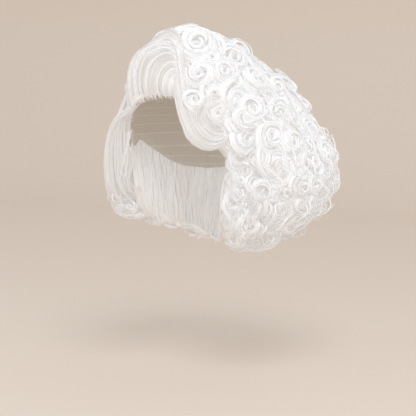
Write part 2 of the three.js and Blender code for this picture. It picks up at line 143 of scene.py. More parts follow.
class Field:
    """A node's output that Python arithmetic can be done on; each step adds a Math node."""

    def __init__(self, tree, socket=None):
        self.tree, self.socket = tree, socket

    def put(self, kind, settings=None, inputs=None, output=0):
        """Adds any other node: its settings first, then the values or links of its sockets."""
        node = self.tree.nodes.new(kind)
        for key, value in (settings or {}).items():
            setattr(node, key, value)
        for key, value in (inputs or {}).items():
            if isinstance(value, Field):
                self.tree.links.new(value.socket, node.inputs[key])
            else:
                node.inputs[key].default_value = value
        return Field(self.tree, node.outputs[output] if len(node.outputs) else None)

    def step(self, operation, first, second=0.0):
        return self.put("ShaderNodeMath", {"operation": operation}, {0: first, 1: second})

    def __add__(self, other):
        return self.step("ADD", self, other)

    def __sub__(self, other):
        return self.step("SUBTRACT", self, other)

    def __mul__(self, other):
        return self.step("MULTIPLY", self, other)

    def __truediv__(self, other):
        return self.step("DIVIDE", self, other)

    def __pow__(self, other):
        return self.step("POWER", self, other)

    def __rsub__(self, other):
        return self.step("SUBTRACT", other, self)

    __radd__ = __add__
    __rmul__ = __mul__

    def sine(self):
        return self.step("SINE", self)

    def cosine(self):
        return self.step("COSINE", self)

    def size(self):
        return self.step("ABSOLUTE", self)

    def parts(self):
        """The three parts of a vector."""
        node = self.put("ShaderNodeSeparateXYZ", inputs={0: self}).socket.node
        return [Field(self.tree, socket) for socket in node.outputs]

    def blend(self, first, second):
        """A colour between two, by this field from 0 to 1."""
        return self.put("ShaderNodeMix", {"data_type": "RGBA"}, {0: self, 6: first, 7: second}, output=2)

    def feed(self, shader, socket):
        self.tree.links.new(self.socket, shader.inputs[socket])

    def emboss(self, shader, strength, distance):
        """Raises a shader's surface by this field."""
        height = {"Strength": strength, "Distance": distance, "Height": self}
        self.put("ShaderNodeBump", inputs=height, output="Normal").feed(shader, "Normal")


def finish(name, **values):
    """A material with a Principled shader, whose even values are set on its own sockets."""
    material = bpy.data.materials.new(name)
    material.use_nodes = True
    shader = material.node_tree.nodes["Principled BSDF"]
    for key, value in values.items():
        shader.inputs[key.replace("_", " ").title()].default_value = value
    return material, Field(material.node_tree), shader


def net_finish():
    material, nodes, shader = finish("ivory_stretch_net", roughness=0.85, sheen_weight=0.15)
    u, v, _ = nodes.put("ShaderNodeUVMap", {"uv_map": "flat"}).parts()
    yarn = (v * YARN_ROWS).sine() * (u * YARN_COLUMNS).sine() * 0.5 + 0.5
    row = (v * SEWN_ROWS).sine().size() ** 24
    cloud = nodes.put("ShaderNodeTexNoise", inputs={"Scale": 60.0, "Detail": 3.0}, output="Fac")
    shade = yarn * 0.35 + cloud * 0.3 + row * 0.45
    shade.blend(NET_SHADE, NET_IVORY).feed(shader, "Base Color")
    (yarn * 0.4 + row).emboss(shader, strength=0.6, distance=0.0008)
    return material


cap = cap_shell()
cap.data.materials.append(net_finish())
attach(cap, "root")
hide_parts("cap")


# The lace is a strip of sheer beige hexagon net, sewn to the cap's front edge and cut along the
# hairline. The front hairs are knotted into it one by one, so that they seem to grow from the skin.
LACE_INSIDE, LACE_OUTSIDE = 0.2, 1.0
LACE_EDGE = [(0, -46), (20, -49), (40, -60), (56, -78), (68, -108), (72, -116)]  # angle, height
LACE_END = 72  # the angle of its ends, in front of the ears
SEAM_STEP = 0.004  # radians below the cap's edge
HAIRLINE_RADIUS = 90
HEXAGONS = 4200  # radians a metre, which puts the rows of holes 1.5 mm apart
LACE_THREAD, LACE_HOLE = (0.76, 0.67, 0.56, 1), (0.86, 0.79, 0.7, 1)


def lace_strip():
    columns, rows = 97, 9
    deg = np.linspace(-LACE_END, LACE_END, columns)
    seam = head_phi(read(CAP_EDGE, np.abs(deg))[:, 0]) + SEAM_STEP
    edge = head_phi(read(LACE_EDGE, np.abs(deg))[:, 0])
    share = np.linspace(0, 1, rows)[:, None]
    phi = seam * (1 - share) + edge * share
    wide = np.broadcast_to(deg, phi.shape)
    outside = on_head(wide, phi, LACE_OUTSIDE).reshape(-1, 3)
    inside = on_head(wide, phi, LACE_INSIDE).reshape(-1, 3)
    size = rows * columns
    faces = ring_faces(rows, columns, 0, False, False) + ring_faces(rows, columns, size, False, True)
    number = np.arange(size).reshape(rows, columns)
    border = [*number[0], *number[1:, -1], *number[-1, -2::-1], *number[-2:0:-1, 0]]
    for a, b in zip(border, border[1:] + border[:1]):
        faces.append([int(a), int(b), int(size + b), int(size + a)])
    flat = np.stack([np.radians(wide).ravel() * HAIRLINE_RADIUS, (phi * HEAD_DOME).ravel()], axis=-1) * 0.001
    return mesh_object("lace_net", np.concatenate([outside, inside]), faces, np.concatenate([flat, flat]))


def lace_finish():
    material, nodes, shader = finish("sheer_beige_lace", roughness=0.8)
    u, v, _ = nodes.put("ShaderNodeUVMap", {"uv_map": "flat"}).parts()
    slant, rise = u * (HEXAGONS / 2), v * (HEXAGONS * 0.866)
    mesh = (u * HEXAGONS).cosine() + (slant + rise).cosine() + (slant - rise).cosine()
    hole = mesh / 4.5 + 0.333
    is_thread = hole.step("LESS_THAN", hole, 0.42)
    hole.blend(LACE_THREAD, LACE_HOLE).feed(shader, "Base Color")
    (is_thread * 0.5 + 0.04).feed(shader, "Alpha")
    return material


lace = lace_strip()
lace.data.materials.append(lace_finish())
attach(lace, "root")
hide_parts("lace_front")


# The under hair is the dense short hair of the sewn rows, which fills the wig out below its locks.
# It stands between the cap and the locks all round, and leaves the hollow for head and neck open.
FULL_SHARE = 0.62
MASS = [  # angle, crest, full radius, its height, hem radius, its height, shape of the upper outline
    (-66, 58, 87, -30, 82, -96, 1.6),
    (-45, 60, 95, -14, 85, -68, 1.55),
    (-18, 60, 101, 4, 86, -50, 2.0),
    (14, 60, 95, 8, 85, -47, 2.0),
]
WAVE_MASS = [
    (14, 60, 99, -10, 92, -50, 2.0),
    (20, 60, 108, -40, 96, -84, 2.0),
    (27, 60, 113, -58, 98, -103, 1.9),
    (38, 60, 118, -70, 98, -120, 1.8),
    (50, 60, 126, -76, 98, -120, 1.7),
    (70, 60, 145, -90, 96, -150, 1.6),
]
CURL_MASS = [
    (70, 60, 163, -143, 86, -253, 1.5),
    (85, 60, 196, -150, 82, -266, 1.45),
    (110, 60, 226, -155, 80, -272, 1.45),
    (126, 60, 226, -155, 80, -272, 1.45),
    (165, 60, 204, -155, 78, -270, 1.45),
    (196, 58, 182, -150, 76, -262, 1.5),
    (225, 56, 160, -145, 78, -246, 1.6),
    (250, 54, 141, -140, 80, -234, 1.7),
    (272, 56, 125, -138, 82, -224, 1.5),
    (294, 58, 118, -134, 86, -212, 1.4),
]
NECK = [(-300, 0.72), (-210, 0.85), (-168, 0.94)]  # height, share of the head's width
HOLLOW_CLEARANCE, HOLLOW_TOP, HOLLOW_POLE = CAP_WALL + 5, -4.0, 5.0
# The under hair is coloured a warmer and darker white than the locks: painted shade for what shows of it in
# the gaps between them. Its rings are darker in their valleys, partly painted shade as well.
UNDER_SHADE, UNDER_LIGHT = (0.9, 0.84, 0.78, 1), (0.95, 0.92, 0.89, 1)


def outline(table, deg, share):
    """Points on the outline of the hair, at shares of the way from crest to hem."""
    deg, share = np.broadcast_arrays(np.asarray(deg, float), np.asarray(share, float))
    crest, full, full_z, hem, hem_z, shape = np.moveaxis(read(table, deg), -1, 0)
    upper = np.clip(share / FULL_SHARE, 0, 1) * np.pi / 2
    lower = np.clip((share - FULL_SHARE) / (1 - FULL_SHARE), 0, 1) * np.pi / 2
    over = share < FULL_SHARE
    out = np.where(over, full * np.sin(upper) ** (2 / shape), hem + (full - hem) * np.cos(lower))
    z = np.where(over, full_z + (crest - full_z) * np.cos(upper) ** (2 / shape),
                 full_z - (full_z - hem_z) * np.sin(lower))
    return around(deg, out, z)


def unit(vectors):
    return vectors / np.maximum(np.linalg.norm(vectors, axis=-1, keepdims=True), 1e-9)


def spot(table, deg, share):
    """A place on the outline with its own directions: sideways, up along the hair, and out."""
    step = 0.02
    here = outline(table, deg, share)
    side = around(np.asarray(deg) + 90, 1, 0)
    above, below = np.maximum(share - step, 0.0), np.minimum(share + step, 1.0)
    up = unit(outline(table, deg, above) - outline(table, deg, below))
    return here, side, up, unit(np.cross(side, up))


def in_hollow(deg, z, clear):
    """Points on the wall of the hollow for head and neck, set back from it by a clearance."""
    z = np.asarray(z, float)
    neck_top = NECK[-1][0]
    there = on_head(deg, head_phi(np.maximum(z, neck_top)), clear)
    narrow = read(NECK, np.minimum(z, neck_top))[..., 0] / NECK[-1][1]
    return np.stack([there[..., 0] * narrow, there[..., 1] * narrow, z + 0.0 * narrow], axis=-1)


def mixed(deg, low, high):
    """Goes smoothly from 0 to 1 between two angles."""
    t = np.clip((deg - low) / (high - low), 0, 1)
    return t * t * (3 - 2 * t)


def under_outline(deg, share):
    """The outline of the under hair, which lies deeper below the curls than below the combed hair."""
    skins = []
    combed = mixed(deg, 245, 262)
    for table, sink, end in ((MASS, 6, 0.88), (WAVE_MASS, 12, 0.86), (CURL_MASS, 9 - 5 * combed, 1.0)):
        here, _, _, out = spot(table, np.full(len(share), deg), share * end)
        skins.append(here - out * (sink * np.minimum(1, (1 - share) * 12 + 0.3))[:, None])
    quiff_skin, wave_skin, curl_skin = skins
    if deg < 40:
        front = mixed(deg, 11, 16)
        return quiff_skin * (1 - front) + wave_skin * front
    if deg < 180:
        left = mixed(deg, 68, 75)
        return wave_skin * (1 - left) + curl_skin * left
    return curl_skin


def under_hair():
    columns, outer, inner, first_ring = 180, 40, 24, 0.06
    begin = MASS[0][0]
    grid = []
    for deg in np.linspace(begin, begin + 360, columns, endpoint=False):
        skin = under_outline(deg, np.linspace(first_ring, 1, outer))
        z = np.linspace(skin[-1, 2], HOLLOW_TOP, inner)
        grid.append(np.concatenate([skin, in_hollow(np.full(inner, deg), z, HOLLOW_CLEARANCE)]))
    grid = np.array(grid)
    loop = grid.shape[1]
    poles = [[0, 0, grid[:, 0, 2].max()], [0, 0, HOLLOW_POLE]]
    points = np.concatenate([grid.reshape(-1, 3), poles])
    faces = []
    for column in range(columns):
        near = (column + 1) % columns
        for i in range(loop - 1):
            faces.append([column * loop + i, column * loop + i + 1, near * loop + i + 1, near * loop + i])
        faces.append([columns * loop, column * loop, near * loop])
        faces.append([columns * loop + 1, near * loop + loop - 1, column * loop + loop - 1])
    return mesh_object("under_hair", points, faces)


def under_finish():
    # The emission is painted light: a warm glow that lifts the shade in the gaps between the locks.
    material, nodes, shader = finish("white_under_hair", roughness=0.6, sheen_weight=0.2,
                                     emission_color=(1.0, 0.93, 0.87, 1), emission_strength=0.22)
    place = nodes.put("ShaderNodeTexCoord", output="Object")
    bend = nodes.put("ShaderNodeTexNoise", inputs={"Vector": place, "Scale": 22.0, "Detail": 1.0},
                     output="Color")
    curled = nodes.put("ShaderNodeMix", {"data_type": "VECTOR"}, {0: 0.035, 4: place, 5: bend}, output=1)
    heart = nodes.put("ShaderNodeTexVoronoi", inputs={"Vector": curled, "Scale": 30.0}, output="Distance")
    ring = (heart * 46).sine() * 0.5 + 0.5
    fine = (heart * 150).sine() * 0.5 + 0.5
    grain_and_shade = ring * 0.6 + fine * 0.4
    grain_and_shade.blend(UNDER_SHADE, UNDER_LIGHT).feed(shader, "Base Color")
    grain_and_shade.emboss(shader, strength=0.7, distance=0.003)
    return material


under = under_hair()
under.data.materials.append(under_finish())
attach(under, "root")


# The crown is the hair on top of the head. It is rolled into flat curls that lie on their sides like
# roses, with their ends tucked in; the fibre is white polyester with a soft silky shine.
HEM_SHADE = {"below": -160, "over": 100, "loss": 0.6}  # low hair gets less light, so its tint is duller
# FIBRE_SHADE is the warm beige that dull locks go to, and also the colour of all painted shade on the fibre.
FIBRE_SHADE, FIBRE_WHITE = (0.8, 0.775, 0.757, 1), (0.965, 0.98, 1.0, 1)


class Locks:
    """Guide lines of locks. Each has the directions that its strands spread in, and how far."""

    def __init__(self, seed, dull=0.45, bright=1.0):
        self.chance = np.random.default_rng(seed)
        self.tints = np.random.default_rng(seed + 500)
        self.dull, self.bright = dull, bright
        self.guides = []

    def lay(self, points, out, wide, thick, strands, across=None, body=1.0):
        """Adds a lock along points: a body of half a width and thickness, with strands laid on it."""
        count = len(points)
        run = unit(np.gradient(points, axis=0))
        out = np.broadcast_to(out, points.shape)
        across = unit(np.cross(out, run)) if across is None else across
        raised = unit(np.cross(run, across))
        turned = np.sign(np.sum(raised * out, axis=-1, keepdims=True) + 1e-9)
        across, raised = across * turned, raised * turned
        even = {"wide": wide, "thick": thick, "strands": strands, "body": body,
                "tint": self.tints.uniform(self.dull, self.bright)}
        guide = {"points": points, "across": across, "out": raised}
        guide.update({key: np.full(count, value) for key, value in even.items()})
        self.guides.append(guide)

    def lines(self, name):
        """The guide lines as a mesh of edges, with what the strands need kept on their points."""
        whole = {key: np.concatenate([guide[key] for guide in self.guides]) for key in self.guides[0]}
        ends = np.cumsum([len(guide["points"]) for guide in self.guides])
        steps = np.setdiff1d(np.arange(ends[-1] - 1), ends - 1)
        depth = np.clip((HEM_SHADE["below"] - whole["points"][:, 2]) / HEM_SHADE["over"], 0, 1)
        whole["tint"] = whole["tint"] - HEM_SHADE["loss"] * depth
        whole["strands"] = whole["strands"].astype(np.int32)
        edges = np.stack([steps, steps + 1], axis=-1)
        mesh = bpy.data.meshes.new(name)
        mesh.from_pydata((whole["points"] * 0.001).tolist(), edges.tolist(), [])
        for key in ("across", "out"):
            mesh.attributes.new(key, "FLOAT_VECTOR", "POINT").data.foreach_set("vector", whole[key].ravel())
        for key, kind, scale in (("wide", "FLOAT", 0.001), ("thick", "FLOAT", 0.001), ("body", "FLOAT", 1),
                                 ("tint", "FLOAT", 1), ("strands", "INT", 1)):
            mesh.attributes.new(key, kind, "POINT").data.foreach_set("value", whole[key] * scale)
        made = bpy.data.objects.new(name, mesh)
        bpy.context.collection.objects.link(made)
        return made


def strand_tree():
    """Geometry nodes that turn guide lines into flat lock bodies with fine closed strands on them."""
    tree = bpy.data.node_groups.new("strands_on_locks", "GeometryNodeTree")
    socket = tree.interface.new_socket
    socket("Locks", in_out="INPUT", socket_type="NodeSocketGeometry")
    names = {}
    for name, kind in (("Strand Radius", "Float"), ("Frizz", "Float"), ("Seed", "Int"), ("Body Sides", "Int"),
                       ("Fibre", "Material")):
        names[name] = socket(name, in_out="INPUT", socket_type="NodeSocket" + kind).identifier
    socket("Hair", in_out="OUTPUT", socket_type="NodeSocketGeometry")
    given = tree.nodes.new("NodeGroupInput")
    nodes = Field(tree)
    taken = {name: Field(tree, given.outputs[name]) for name in ["Locks", *names]}

    def kept(name, kind="FLOAT"):
        return nodes.put("GeometryNodeInputNamedAttribute", {"data_type": kind}, {"Name": name})

    def keep(geometry, name, value, kind="FLOAT"):
        return nodes.put("GeometryNodeStoreNamedAttribute", {"data_type": kind, "domain": "POINT"},
                         {"Geometry": geometry, "Name": name, "Value": value})

    def scaled(vector, amount):
        return nodes.put("ShaderNodeVectorMath", {"operation": "SCALE"}, {0: vector, "Scale": amount})

    def summed(first, second):
        return nodes.put("ShaderNodeVectorMath", {"operation": "ADD"}, {0: first, 1: second})

    def dice(shift):
        roll = nodes.put("FunctionNodeRandomValue", {"data_type": "FLOAT_VECTOR"},
                         {0: (-1, -1, -1), 1: (1, 1, 1), "ID": nodes.put("GeometryNodeInputIndex"),
                          "Seed": taken["Seed"] + shift})
        whole = {"data_type": "FLOAT_VECTOR", "domain": "CURVE"}
        return nodes.put("GeometryNodeFieldOnDomain", whole, {0: roll}).parts()

    def circle(sides, radius):
        return nodes.put("GeometryNodeCurvePrimitiveCircle", {"mode": "RADIUS"},
                         {"Resolution": sides, "Radius": radius})

    across, out = kept("across", "FLOAT_VECTOR"), kept("out", "FLOAT_VECTOR")
    wide, thick = kept("wide"), kept("thick")
    along = nodes.put("GeometryNodeSplineParameter", output="Factor")
    curves = nodes.put("GeometryNodeMeshToCurve", inputs={"Mesh": taken["Locks"]})

    # The body is a flat tube round the guide line that narrows to blunt ends.
    bare = nodes.step("LESS_THAN", kept("body"), 0.5)
    solid = nodes.put("GeometryNodeDeleteGeometry", {"domain": "POINT"},
                      {"Geometry": curves, "Selection": bare})
    _, _, z = dice(5)
    solid = keep(solid, "middle", nodes.put("GeometryNodeInputPosition"), "FLOAT_VECTOR")
    # The bodies are toned darker than the strands laid on them: painted shade, for the gaps between strands
    # where a body shows.
    solid = keep(solid, "tone", z * 0.1 + kept("tint") - 0.3)
    solid = keep(solid, "slim", (1.0 - (along * 2.0 - 1.0).size() ** 5) ** 0.5)
    solid = keep(solid, "along", along)
    ring = circle(taken["Body Sides"], 0.0001)
    ring = keep(ring, "turn", nodes.put("GeometryNodeInputIndex") * 6.2832 / taken["Body Sides"])
    solid = nodes.put("GeometryNodeCurveToMesh",
                      inputs={"Curve": solid, "Profile Curve": ring, "Fill Caps": True})
    turn, slim = kept("turn"), kept("slim") * 0.92 + 0.08
    rim = summed(scaled(across, turn.cosine() * wide * slim * 0.9),
                 scaled(out, turn.sine() * thick * slim * 0.5))
    solid = nodes.put("GeometryNodeSetPosition",
                      inputs={"Geometry": solid, "Position": summed(kept("middle", "FLOAT_VECTOR"), rim)})
    run = nodes.put("ShaderNodeCombineXYZ", inputs={0: turn, 1: kept("along"), 2: kept("tone")})
    solid = keep(solid, "run", run, "FLOAT_VECTOR")

    # The strands are copies of the guide line, spread over the body, frizzed, and cut unevenly.
    stranded = nodes.put("GeometryNodeDuplicateElements", {"domain": "SPLINE"},
                         {"Geometry": curves, "Amount": kept("strands", "INT")})
    x, y, z = dice(11)
    reach = 1.0 + y * y * 0.5
    rise = 0.75 + z * 0.55 - x * x * 0.35
    spread = summed(scaled(across, x * wide * reach), scaled(out, rise * thick))
    wander = {"Vector": nodes.put("GeometryNodeInputPosition"), "W": y * 40.0, "Scale": 45.0, "Detail": 1.0}
    noise = nodes.put("ShaderNodeTexNoise", {"noise_dimensions": "4D"}, wander, output="Color")
    stray = nodes.put("ShaderNodeVectorMath", {"operation": "SUBTRACT"}, {0: noise, 1: (0.5, 0.5, 0.5)})
    spread = summed(spread, scaled(stray, taken["Frizz"] * (along * 1.5 + 0.5)))
    stranded = nodes.put("GeometryNodeSetPosition", inputs={"Geometry": stranded, "Offset": spread})
    x, y, z = dice(23)
    stranded = nodes.put("GeometryNodeTrimCurve", {"mode": "FACTOR"},
                         {"Curve": stranded, "Start": (x + 1.0) * 0.03, "End": 1.0 - (y + 1.0) * 0.07})
    along = nodes.put("GeometryNodeSplineParameter", output="Factor")
    radius = taken["Strand Radius"] * (z * 0.35 + 1.0) * (1.0 - ((along * 2.0 - 1.0) ** 4) * 0.65)
    stranded = nodes.put("GeometryNodeSetCurveRadius", inputs={"Curve": stranded, "Radius": radius})
    stranded = keep(stranded, "tone", x * 0.2 + kept("tint"))
    fine = {"Curve": stranded, "Profile Curve": circle(3, 1.0), "Fill Caps": True,
            "Scale": nodes.put("GeometryNodeInputRadius")}
    stranded = nodes.put("GeometryNodeCurveToMesh", inputs=fine)
    both = nodes.put("GeometryNodeJoinGeometry", inputs={0: solid})
    tree.links.new(stranded.socket, both.socket.node.inputs[0])
    smooth = nodes.put("GeometryNodeSetShadeSmooth", inputs={"Geometry": both, "Shade Smooth": True})
    real = nodes.put("GeometryNodeRealizeInstances", inputs={"Geometry": smooth})
    done = nodes.put("GeometryNodeSetMaterial", inputs={"Geometry": real, "Material": taken["Fibre"]})
    nodes.put("NodeGroupOutput", inputs={0: done})
    return tree, names


def fibre_finish():
    # The emission is painted light: a faint warm glow that lifts the shade between the strands, where white
    # hair would pass light on.
    material, nodes, shader = finish("white_silky_fibre", roughness=0.3, coat_weight=0.4, coat_roughness=0.22,
                                     emission_color=(1.0, 0.975, 0.96, 1), emission_strength=0.18)
    tone = nodes.put("ShaderNodeAttribute", {"attribute_name": "tone"}, output="Fac")
    turn, along, lock = nodes.put("ShaderNodeAttribute", {"attribute_name": "run"}, output="Vector").parts()
    streak = nodes.put("ShaderNodeCombineXYZ",
                       inputs={0: turn.cosine() * 2.2, 1: turn.sine() * 2.2, 2: along * 1.5 + lock * 90})
    grain_and_shade = nodes.put("ShaderNodeTexNoise", inputs={"Vector": streak, "Scale": 1.6, "Detail": 2.0},
                      output="Fac")
    # The streaks on the lock bodies stand for separate strands: partly the lie of the fibres, and partly
    # painted shade in the darker valleys between them.
    shade = tone + (grain_and_shade - 0.5) * 1.8
    shade.blend(FIBRE_SHADE, FIBRE_WHITE).feed(shader, "Base Color")
    grain_and_shade.emboss(shader, strength=0.6, distance=0.0012)
    return material


FIBRE = fibre_finish()
STRANDS, STRAND_INPUTS = strand_tree()


def hair_piece(name, locks, node=None, *, seed, radius=0.62, frizz=0.8):
    """Grows the strands of locks into one plain mesh, which may stand for a section of the wig."""
    made = locks.lines(name)
    grow = made.modifiers.new("strands", "NODES")
    grow.node_group = STRANDS
    values = {"Strand Radius": radius * 0.001, "Frizz": frizz * 0.001, "Seed": seed, "Body Sides": 6,
              "Fibre": FIBRE}
    for key, value in values.items():
        grow[STRAND_INPUTS[key]] = value
    graph = bpy.context.evaluated_depsgraph_get()
    grown = made.evaluated_get(graph)
    mesh = bpy.data.meshes.new_from_object(grown, preserve_all_data_layers=True, depsgraph=graph)
    made.modifiers.clear()
    lines, made.data = made.data, mesh
    bpy.data.meshes.remove(lines)
    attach(made, "root")
    if node:
        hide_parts(node)
    return made


RIBBONS = [  # sizes in a curl's radius: reach at both ends, tail that leads in, half width; share of strands
    {"reach": (1.02, 0.86), "tail": 0.85, "turns": 1.05, "half": 0.19, "share": 0.38},
    {"reach": (0.76, 0.58), "tail": 0.3, "turns": 1.05, "half": 0.17, "share": 0.28},
    {"reach": (0.44, 0.2), "tail": 0.0, "turns": 1.1, "half": 0.14, "share": 0.18},
    {"reach": (1.1, 0.6), "tail": 0.5, "turns": 0.6, "half": 0.04, "share": 0.08},
    {"reach": (0.95, 0.75), "tail": 0.4, "turns": 0.55, "half": 0.04, "share": 0.08},
]
RIM, HEART = RIBBONS[0], RIBBONS[2]  # an open curl has no heart
THIN = 0.05  # a ribbon with less half width is a loose tress without a body
RIBBON_THICK = 0.06


def rose(locks, place, radius, spin, strands=30, tilt=0.25, lift=0.0, steps=13, facing=0.0, tails=1.0,
         hollow=False):
    """Lays a rolled curl: flat ribbons that come in from above and wind one inside the other."""
    here, side, up, out = place
    chance = locks.chance
    lean = chance.uniform(-1, 1, 2) * tilt
    normal = unit(out + facing + lean[0] * side + lean[1] * up)
    side = unit(side - normal * np.dot(side, normal))
    up = np.cross(normal, side)
    roll = chance.uniform(-0.8, 0.8)
    side, up = side * np.cos(roll) + up * np.sin(roll), up * np.cos(roll) - side * np.sin(roll)
    squash = chance.uniform(0.68, 1.0)
    for ribbon in RIBBONS:
        if hollow and ribbon is HEART:
            continue
        (outer, inner), half = ribbon["reach"], ribbon["half"]
        tail = tails * ribbon["tail"] * chance.uniform(0.6, 1.2)
        turns = ribbon["turns"] * chance.uniform(0.85, 1.2)
        outer = outer * chance.uniform(0.94, 1.06)
        count = max(8, round((steps - 2) * (0.35 + 0.7 * turns * (outer + 0.25 * tail))))
        wound = np.linspace(0, 1, count)
        begin = np.pi / 2 + chance.uniform(-0.6, 0.6) if ribbon is RIM else chance.uniform(0, 2 * np.pi)
        angle = begin + 2 * np.pi * turns * wound
        reach = outer + (inner - outer) * wound + tail * np.clip(1 - wound / 0.3, 0, 1) ** 2
        off = chance.normal(0, 0.06, 2)
        swell = np.pi * np.clip(reach, 0.2, 1.0)
        slant = chance.uniform(-0.1, 0.1) * np.sin(angle + chance.uniform(0, 6))
        height = 0.32 * (np.sin(swell) - 0.4) - 0.14 * np.maximum(reach - 1, 0) + slant + 0.1 * (half < THIN)
        x, y = spin * np.cos(angle), squash * np.sin(angle)
        points = (here + np.outer(radius * (reach * x + off[0]), side)
                  + np.outer(radius * (reach * y + off[1]), up) + np.outer(radius * height + lift, normal))
        across = unit(unit(np.outer(x, side) + np.outer(y, up)) + np.outer(np.cos(swell), normal))
        locks.lay(points, normal, radius * half, radius * RIBBON_THICK,
                  max(2, round(strands * ribbon["share"])), across, float(half > THIN))


CROWN_ROSES = [  # angle, distance out, radius, spin
    (25, 42, 24, 1), (95, 40, 24, -1), (165, 42, 24, 1), (235, 36, 21, -1), (300, 33, 20, 1),
    (345, 38, 18, -1), (0, 0, 24, -1),
]
CROWN_TOP, CROWN_SLOPE, CROWN_BOW = 55, 0.05, 0.0038


def crown_curls():
    locks = Locks(11)
    for layer in range(2):
        for deg, out, radius, spin in CROWN_ROSES:
            turn, reach = deg + layer * 36, out + 6 * layer
            here = around(turn, reach, CROWN_TOP - CROWN_BOW * reach ** 2 - 5 * layer - CROWN_SLOPE * reach)
            side = around(turn + 90, 1, 0)
            normal = unit(around(turn, 0.013 * reach, 1.0))
            rose(locks, (here, side, np.cross(normal, side), normal), radius, spin, strands=27, lift=-4,
                 tilt=0.15, tails=0.4)
    return locks


hair_piece("crown_roses", crown_curls(), "crown_curls", seed=3)


# The left side holds most of the hair: rolled curls down from the crown, large above and smaller and
# looser below, where they hang apart in rings. They are sewn to the cap in close rows of weft.
ROSES_LEFT = [  # the main curls: angle, share from crest to hem, radius, spin
    (107, 0.20, 24, 1), (110, 0.27, 22, -1), (82, 0.31, 27, 1), (67, 0.41, 23, -1), (84, 0.40, 23, 1),
    (73, 0.49, 23, -1), (82, 0.50, 23, 1), (73, 0.60, 22, 1), (89, 0.57, 21, -1), (83, 0.67, 19, 1),
    (66, 0.70, 17, -1), (73, 0.75, 17, 1), (80, 0.76, 15, -1), (92, 0.77, 15, 1), (66, 0.86, 15, 1),
    (78, 0.86, 15, -1), (97, 0.67, 17, -1), (104, 0.74, 15, 1),
]


def rose_size(share):
    """Curls are largest near the crown and smallest at the hem."""
    return np.interp(share, [0.1, 0.45, 0.62, 0.8, 1.0], [26, 24, 20, 16, 13])


def fill_spots(seed, low, high, fixed, apart):
    """The given curls of an area, with more between them that keep clear of those before them."""
    tries, highest = 1500, 0.17
    chance = np.random.default_rng(seed)
    taken = [(outline(CURL_MASS, deg, share), radius) for deg, share, radius, _ in fixed]
    placed = []
    for _ in range(tries):
        deg, share = chance.uniform(low, high), chance.uniform(highest, 1.0)
        radius = rose_size(share) * chance.uniform(0.85, 1.15)
        here = outline(CURL_MASS, deg, share)
        if all(np.linalg.norm(here - there) > apart * (radius + other) for there, other in taken):
            taken.append((here, radius))
            placed.append((deg, share, radius, chance.choice([-1, 1])))
    return fixed + placed


def rolled_locks(seed, spots, strands, facing=0.0, dull=0.45, steps=13):
    """Curls at spots of the outline. Low ones are looser, and tilted this way and that."""
    locks = Locks(seed, dull)
    for deg, share, radius, spin in spots:
        loose = np.clip((share - 0.55) / 0.4, 0, 1)
        rose(locks, spot(CURL_MASS, deg, share), radius, spin, strands=round(strands * (1 - 0.3 * loose)),
             tilt=0.2 + 0.5 * loose, lift=-4 + 3.5 * locks.chance.uniform(-1, 1), steps=steps, facing=facing,
             hollow=locks.chance.uniform(0, 1) < loose)
    return locks


def ringlets(locks, low, high, count, strands=4, highest=0.4, largest=11):
    """Thin locks that hang free at the outside and the hem, wound in open rings."""
    chance = locks.chance
    for _ in range(count):
        share = 1 - (1 - highest) * chance.uniform(0, 1) ** 1.4
        here, side, up, out = spot(CURL_MASS, chance.uniform(low, high), share)
        turn = chance.uniform(0, np.pi)
        flat = side * np.cos(turn) + out * np.sin(turn)
        turns, size = chance.uniform(1.1, 2.1), chance.uniform(0.55, 1) * largest
        steps = round(10 * turns)
        angle = chance.uniform(0, 6) + np.linspace(0, 2 * np.pi * turns, steps) * chance.choice([-1, 1])
        drop = np.linspace(0.5, -0.5, steps) * chance.uniform(4, 12) * turns
        wind = size * np.linspace(1.0, 0.7, steps)
        points = here + np.outer(wind * np.cos(angle), flat) + np.outer(wind * np.sin(angle) + drop, up)
        wide = chance.uniform(0.6, 1.4)
        locks.lay(points, unit(points - here + 0.01), wide, thick=0.8, strands=strands, body=0.0)
    return locks


def thread(rows, steps):
    """Smooth points through rows of angle, distance out and height."""
    rows = np.asarray(rows, float)
    at = np.linspace(0, len(rows) - 1, steps)
    table = np.column_stack([np.arange(len(rows)), rows])
    return around(*np.moveaxis(read(table, at), -1, 0))


EDGE_DEG = 67  # the front edge of the left side, below the wave
EDGE_ROSES = [  # distance out, height, radius
    (124, -150, 19), (146, -132, 18), (100, -168, 15), (120, -182, 17), (143, -168, 17), (97, -200, 15),
    (119, -214, 16), (141, -203, 15), (94, -230, 13), (114, -240, 13), (134, -232, 13),
]
EDGE_TOP, EDGE_HEM = -112, -246
TEMPLE = [  # angle, distance out, height along the locks that hang by the temple
    (52, 106, -96), (56, 108, -114), (60, 109, -128), (64, 107, -142), (66, 104, -160), (65, 100, -180),
    (64, 97, -202), (64, 95, -224), (66, 96, -240),
]


